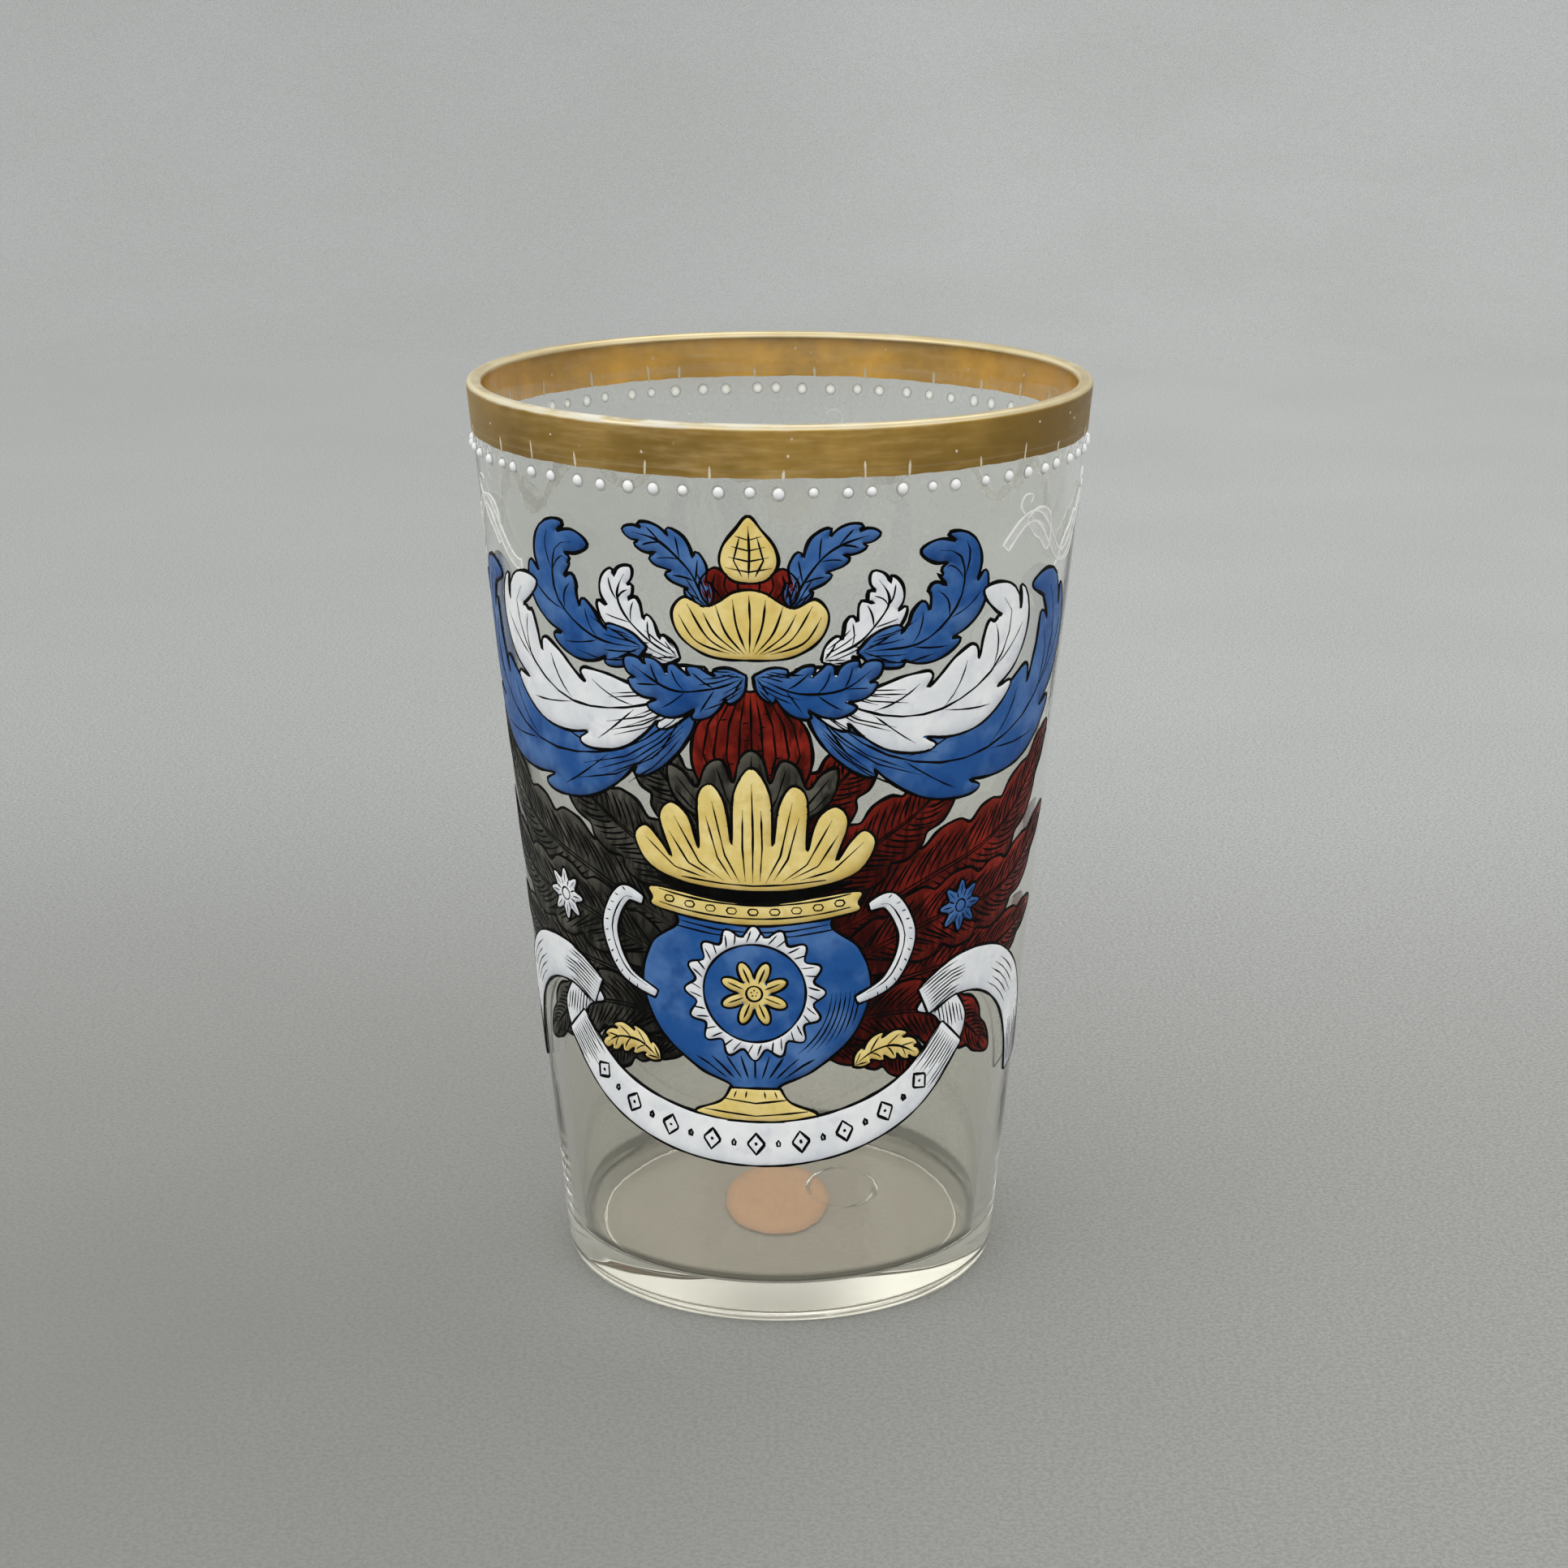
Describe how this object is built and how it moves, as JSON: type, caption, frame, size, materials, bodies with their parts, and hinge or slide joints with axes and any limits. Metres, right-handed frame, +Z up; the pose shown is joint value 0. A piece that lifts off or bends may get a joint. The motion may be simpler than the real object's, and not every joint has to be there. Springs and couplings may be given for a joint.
{
  "type": "glass beaker",
  "caption": "Tapering glass beaker with a thick base, a gilded rim, a row of enamel pearls and a painted design of an urn, plumes, leaf scrolls and a ribbon.",
  "frame": {"origin": "centre of the foot ring, on the surface that the beaker stands on", "axes": "+Z up along the axis of the glass, -Y towards the painted front, +X to the right of a viewer who faces the front"},
  "size_m": [0.0806, 0.0806, 0.12],
  "materials": {
    "glass": "clear, faintly warm grey-green, polished",
    "gilding": "burnished gold, slightly worn and mottled",
    "pearl_enamel": "glossy raised enamel",
    "white_enamel": "glossy painted enamel",
    "blue_enamel": "glossy painted enamel",
    "yellow_enamel": "glossy painted enamel",
    "red_enamel": "glossy translucent dark red enamel",
    "grey_enamel": "glossy translucent grey-black enamel",
    "paper": "matt, aged"
  },
  "bodies": {
    "root": {"crest_bloom": "red_enamel", "crest_cup": "yellow_enamel", "crest_finial": "yellow_enamel", "crest_leaf_left": "blue_enamel", "crest_leaf_right": "blue_enamel", "daisy_left": "white_enamel", "daisy_right": "blue_enamel", "fruit_body": "red_enamel", "fruit_calyx": "grey_enamel", "garland_left": "blue_enamel", "garland_right": "blue_enamel", "gilt_rim_band": "gilding", "glass_body": "glass", "palmette": "yellow_enamel", "paper_label": "paper", "pearl_row": "pearl_enamel", "plume_1_left": "grey_enamel", "plume_1_right": "red_enamel", "plume_2_left": "grey_enamel", "plume_2_right": "red_enamel", "plume_3_left": "grey_enamel", "plume_3_right": "red_enamel", "plume_4_left": "grey_enamel", "plume_4_right": "red_enamel", "plume_5_left": "grey_enamel", "plume_5_right": "red_enamel", "plume_6_left": "grey_enamel", "plume_6_right": "red_enamel", "plume_7_left": "grey_enamel", "plume_7_right": "red_enamel", "ribbon_centre": "white_enamel", "ribbon_fold_left": "white_enamel", "ribbon_fold_right": "white_enamel", "ribbon_spray_left": "yellow_enamel", "ribbon_spray_right": "yellow_enamel", "ribbon_tail_left": "white_enamel", "ribbon_tail_right": "white_enamel", "scroll_inner_left": "white_enamel", "scroll_inner_right": "white_enamel", "scroll_outer_left": "blue_enamel", "scroll_outer_right": "blue_enamel", "scroll_tip_left": "white_enamel", "scroll_tip_right": "white_enamel", "scroll_upper_left": "blue_enamel", "scroll_upper_right": "blue_enamel", "urn_body": "blue_enamel", "urn_foot": "yellow_enamel", "urn_handle_left": "white_enamel", "urn_handle_right": "white_enamel", "urn_rim": "yellow_enamel", "urn_rosette": "yellow_enamel", "urn_wreath": "white_enamel", "vine_back": "white_enamel", "vine_left": "white_enamel", "vine_right": "white_enamel"}
  },
  "joints": []
}
